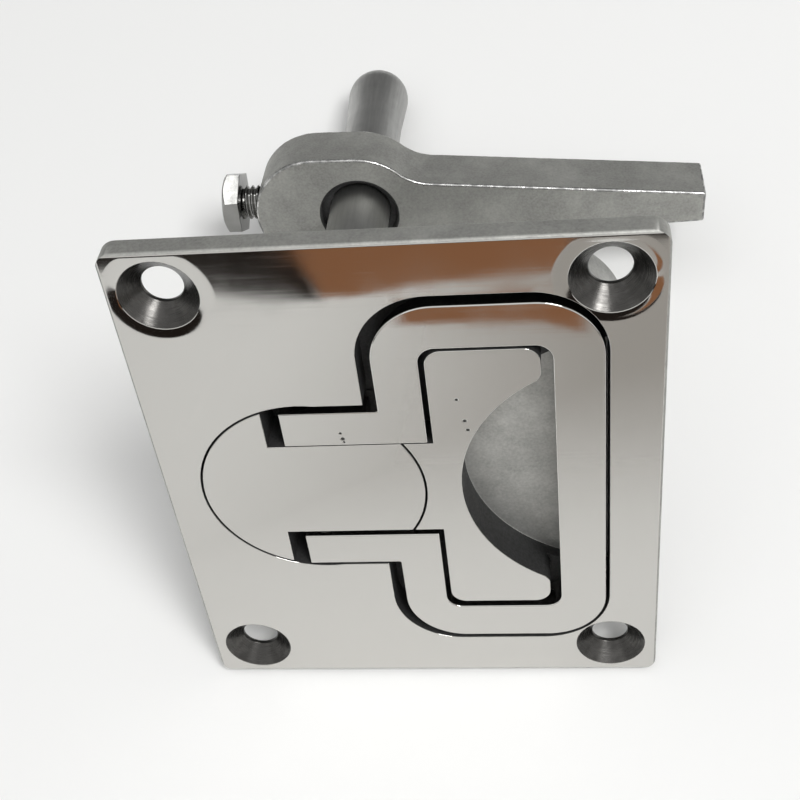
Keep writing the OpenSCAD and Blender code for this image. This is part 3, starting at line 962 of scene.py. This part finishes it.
def bolt_thread():
    """Helical ridge of the thread, closed at both ends."""
    outer = sizes().bolt_diameter / 2
    root = outer - sizes().thread_depth
    pitch = sizes().thread_pitch
    turns = int((sizes().bolt_seat - sizes().bolt_tip) / pitch) - 1
    foot = root - 0.0001
    profile = ((foot, 0.0), (outer, 0.4 * pitch), (outer, 0.52 * pitch), (foot, 0.92 * pitch))
    mesh = bpy.data.meshes.new("thread_profile")
    points = [(r, 0.0, z - (turns + 0.5) * pitch) for r, z in profile]
    mesh.from_pydata(points, [(0, 1), (1, 2), (2, 3), (3, 0)], [])
    ridge = bpy.data.objects.new("thread_ridge", mesh)
    bpy.context.scene.collection.objects.link(ridge)
    apply_modifier(
        ridge,
        "SCREW",
        angle=math.radians(360),
        screw_offset=pitch,
        iterations=turns,
        steps=sizes().thread_steps,
        render_steps=sizes().thread_steps,
        use_normal_calculate=True,
    )
    pick(ridge)
    bpy.ops.object.mode_set(mode="EDIT")
    bpy.ops.mesh.select_all(action="DESELECT")
    bpy.ops.mesh.select_mode(type="EDGE")
    bpy.ops.mesh.select_non_manifold(extend=False)
    bpy.ops.mesh.edge_face_add()
    bpy.ops.mesh.select_mode(type="FACE")
    bpy.ops.mesh.select_all(action="SELECT")
    bpy.ops.mesh.normals_make_consistent(inside=False)
    bpy.ops.object.mode_set(mode="OBJECT")
    return ridge


class LATCH_OT_bolt(Operator):
    """Models the set bolt with its thread and its turned hexagon"""

    bl_idname = "latch.bolt"
    bl_label = "Set bolt"

    def execute(self, context):
        head = bolt_head()
        parts = (bolt_shank(), bolt_thread())
        pick(head)
        for part in parts:
            part.select_set(True)
        bpy.ops.object.join()
        along = Matrix.Rotation(sizes().bolt_axis_angle, 4, "Z") @ Matrix.Rotation(math.radians(-90), 4, "Y")
        seat = Matrix.Translation((SHAFT_X, 0.0, CAM_Z))
        head.data.transform(seat @ along @ Matrix.Translation((0.0, 0.0, sizes().bolt_seat)))
        head.name = "set_bolt_threaded"
        set_finishes(head, "bright steel")
        pick(head)
        bpy.ops.object.shade_smooth_by_angle(angle=SMOOTH_ANGLE)
        apply_modifier(head, "WEIGHTED_NORMAL", keep_sharp=True, weight=80)
        take_over(head, "set_bolt", "bolt")
        return {"FINISHED"}


class LATCH_OT_bearing(Operator):
    """Finishes the pins, the washers, the bush and the seal"""

    bl_idname = "latch.bearing"
    bl_label = "Pins and bearing"

    def execute(self, context):
        steel = ("pivot_pin", "shaft_pin", "upper_washer", "lower_washer", "wave_washer", "retaining_ring")
        for node in steel:
            set_finishes(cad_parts[node], "bright steel")
        for node in ("thrust_washer", "shaft_bush"):
            set_finishes(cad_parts[node], "acetal")
        set_finishes(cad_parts["shaft_seal"], "seal rubber")
        return {"FINISHED"}


def floor_axes():
    """The floor's directions up and out: it carries the plate's foot and the shaft's round end."""
    radius = (SHAFT_HIGH.x - SHAFT_LOW.x) / 2
    back = -(SHAFT_LOW.z + radius)
    lean = math.acos(radius / math.hypot(PLATE_LOW.y, back)) - math.atan2(back, -PLATE_LOW.y)
    return Vector((0.0, math.cos(lean), math.sin(lean))), Vector((0.0, -math.sin(lean), math.cos(lean)))


def floor_point(across, out, lift):
    """A place over the floor, measured across and out from the plate's foot."""
    up, ahead = floor_axes()
    return Vector((across, PLATE_LOW.y, 0.0)) + ahead * out + up * lift


def flat_card(name, colour, corners, lift, fade):
    """A matt card on the floor, with an attribute that falls to nothing along its rim."""
    middle = sum((Vector(corner) for corner in corners), Vector((0.0, 0.0))) / len(corners)
    inner = [Vector(corner) + (middle - Vector(corner)).normalized() * fade for corner in corners]
    count = len(corners)
    rim = [(i, (i + 1) % count, (i + 1) % count + count, i + count) for i in range(count)]
    mesh = bpy.data.meshes.new(name)
    points = [floor_point(*corner, lift) for corner in (*corners, *inner)]
    mesh.from_pydata(points, [], [*rim, tuple(range(count, 2 * count))])
    level = mesh.attributes.new("card_fade", "FLOAT", "POINT")
    level.data.foreach_set("value", [0.0] * count + [1.0] * count)
    card = bpy.data.objects.new(name, mesh)
    bpy.context.scene.collection.objects.link(card)
    paint = bpy.data.materials.new(name)
    paint.use_nodes = True
    shader = paint.node_tree.nodes["Principled BSDF"]
    shader.inputs["Base Color"].default_value = (*colour, 1.0)
    shader.inputs["Roughness"].default_value = 0.8
    shader.inputs["Specular IOR Level"].default_value = 0.0
    mesh.materials.append(paint)
    return card


def clear_where(card, mask):
    """Lets light through a card where a mask is one."""
    tree = card.data.materials[0].node_tree
    mixed = add_node(tree, "ShaderNodeMixShader")
    tree.links.new(mask, mixed.inputs["Fac"])
    tree.links.new(tree.nodes["Principled BSDF"].outputs["BSDF"], mixed.inputs[1])
    tree.links.new(add_node(tree, "ShaderNodeBsdfTransparent").outputs["BSDF"], mixed.inputs[2])
    tree.links.new(mixed.outputs["Shader"], tree.nodes["Material Output"].inputs["Surface"])


def pale_floor():
    """Pale floor that is clear from below and looks a little paler than it lights."""
    settings = stage_settings()
    half = settings.floor_size / 2
    corners = ((-half, -half), (-half, half), (half, half), (half, -half))
    floor = flat_card("floor", settings.floor_colour, corners, -0.0002, half / 2)
    tree = floor.data.materials[0].node_tree
    shader = tree.nodes["Principled BSDF"]
    rays = add_node(tree, "ShaderNodeLightPath").outputs
    seen = combine(tree, "ADD", rays["Is Camera Ray"], rays["Is Glossy Ray"])
    seen = combine(tree, "MINIMUM", combine(tree, "ADD", seen, rays["Is Transmission Ray"]), 1.0)
    shader.inputs["Emission Color"].default_value = (*settings.floor_colour, 1.0)
    tree.links.new(combine(tree, "MULTIPLY", seen, settings.floor_glow), shader.inputs["Emission Strength"])
    clear_where(floor, add_node(tree, "ShaderNodeNewGeometry").outputs["Backfacing"])


def mirrored_card(name, colour, corners, lift, fade):
    """A soft-edged card in front of the part that only its polish sees."""
    card = flat_card(name, colour, corners, lift, fade)
    tree = card.data.materials[0].node_tree
    level = add_node(tree, "ShaderNodeAttribute", attribute_name="card_fade").outputs["Fac"]
    clear_where(card, ramp(tree, level, 0.0, 1.0, 1.0, 0.0, "SMOOTHSTEP"))
    card.visible_camera = False
    card.visible_diffuse = False
    card.visible_shadow = False


def toward(tree, axis):
    """How far a ray into the room points along an axis."""
    made = add_node(tree, "ShaderNodeVectorMath", operation="DOT_PRODUCT")
    made.inputs[1].default_value = axis
    tree.links.new(add_node(tree, "ShaderNodeTexCoord").outputs["Generated"], made.inputs[0])
    return made.outputs["Value"]


def room_light():
    """Even light of a room: pale to the camera, and to the polish in its walls in front and at the sides."""
    world = bpy.data.worlds.new("room")
    bpy.context.scene.world = world
    world.use_nodes = True
    tree = world.node_tree
    light = tree.nodes["Background"]
    light.inputs["Color"].default_value = (1.0, 1.0, 1.0, 1.0)
    light.inputs["Strength"].default_value = stage_settings().world_level
    seen = add_node(tree, "ShaderNodeBackground")
    seen.inputs["Color"].default_value = (0.82, 0.82, 0.81, 1.0)
    up, ahead = floor_axes()
    in_front = ramp(tree, toward(tree, ahead), -0.4, 0.2)
    below_lamp = ramp(tree, toward(tree, up), 0.64, 0.78, 1.0, 0.0)
    walls = combine(tree, "MULTIPLY", in_front, below_lamp)
    rays = add_node(tree, "ShaderNodeLightPath").outputs
    mirrored = combine(tree, "ADD", rays["Is Glossy Ray"], rays["Is Transmission Ray"])
    pale = combine(tree, "MULTIPLY_ADD", mirrored, walls, rays["Is Camera Ray"])
    mixed = add_node(tree, "ShaderNodeMixShader")
    tree.links.new(combine(tree, "MINIMUM", pale, 1.0), mixed.inputs["Fac"])
    tree.links.new(light.outputs["Background"], mixed.inputs[1])
    tree.links.new(seen.outputs["Background"], mixed.inputs[2])
    tree.links.new(mixed.outputs["Shader"], tree.nodes["World Output"].inputs["Surface"])


def soft_lamp(name, power, size, place, aim):
    """A square soft lamp that looks at a point."""
    data = bpy.data.lights.new(name, "AREA")
    data.energy = power
    data.size = size
    lamp = bpy.data.objects.new(name, data)
    bpy.context.scene.collection.objects.link(lamp)
    lamp.location = place
    lamp.rotation_euler = (aim - place).to_track_quat("-Z", "Y").to_euler()


class LATCH_OT_stage(Operator):
    """Sets the floor, the cards that the polish mirrors, the lights and the camera"""

    bl_idname = "latch.stage"
    bl_label = "Stage"

    def execute(self, context):
        settings = stage_settings()
        context.scene.view_settings.view_transform = "Standard"
        pale_floor()
        for name, colour, corners, lift, fade in CARDS:
            mirrored_card(name, getattr(settings, colour), corners, lift, fade)
        room_light()
        aim = floor_point(0.0, -0.04, 0.03)
        for name, power, size, place in LAMPS:
            soft_lamp(name, getattr(settings, power), size, floor_point(*place), aim)
        data = bpy.data.cameras.new("camera")
        data.lens = settings.camera_lens
        data.clip_start = 0.01
        camera = bpy.data.objects.new("camera", data)
        context.scene.collection.objects.link(camera)
        camera.location = settings.camera_place
        camera.rotation_euler = settings.camera_turn
        context.scene.camera = camera
        return {"FINISHED"}


class LATCH_PT_panel(Panel):
    """Lists the steps that dress the latch"""

    bl_idname = "LATCH_PT_panel"
    bl_label = "Latch"
    bl_space_type = "VIEW_3D"
    bl_region_type = "UI"
    bl_category = "Latch"

    def draw(self, context):
        for step in STEPS:
            self.layout.operator(step.bl_idname)


GROUPS = (LatchSizes, LatchFinishes, LatchStage)
STEPS = (
    LATCH_OT_faceplate,
    LATCH_OT_rotor,
    LATCH_OT_handle,
    LATCH_OT_shaft,
    LATCH_OT_cam,
    LATCH_OT_bolt,
    LATCH_OT_bearing,
    LATCH_OT_stage,
)


def register():
    """Registers the classes and the settings of the scene."""
    for made in (*GROUPS, *STEPS, LATCH_PT_panel):
        bpy.utils.register_class(made)
    bpy.types.Scene.latch_sizes = PointerProperty(type=LatchSizes)
    bpy.types.Scene.latch_finishes = PointerProperty(type=LatchFinishes)
    bpy.types.Scene.latch_stage = PointerProperty(type=LatchStage)


def unregister():
    """Takes the settings and the classes away again."""
    del bpy.types.Scene.latch_sizes
    del bpy.types.Scene.latch_finishes
    del bpy.types.Scene.latch_stage
    for made in (LATCH_PT_panel, *reversed(STEPS), *reversed(GROUPS)):
        bpy.utils.unregister_class(made)


def main():
    """Registers the settings, dresses the latch and sets the stage."""
    register()
    bpy.ops.latch.faceplate()
    bpy.ops.latch.rotor()
    bpy.ops.latch.handle()
    bpy.ops.latch.shaft()
    bpy.ops.latch.cam()
    bpy.ops.latch.bolt()
    bpy.ops.latch.bearing()
    bpy.ops.latch.stage()


if __name__ == "__main__":
    main()
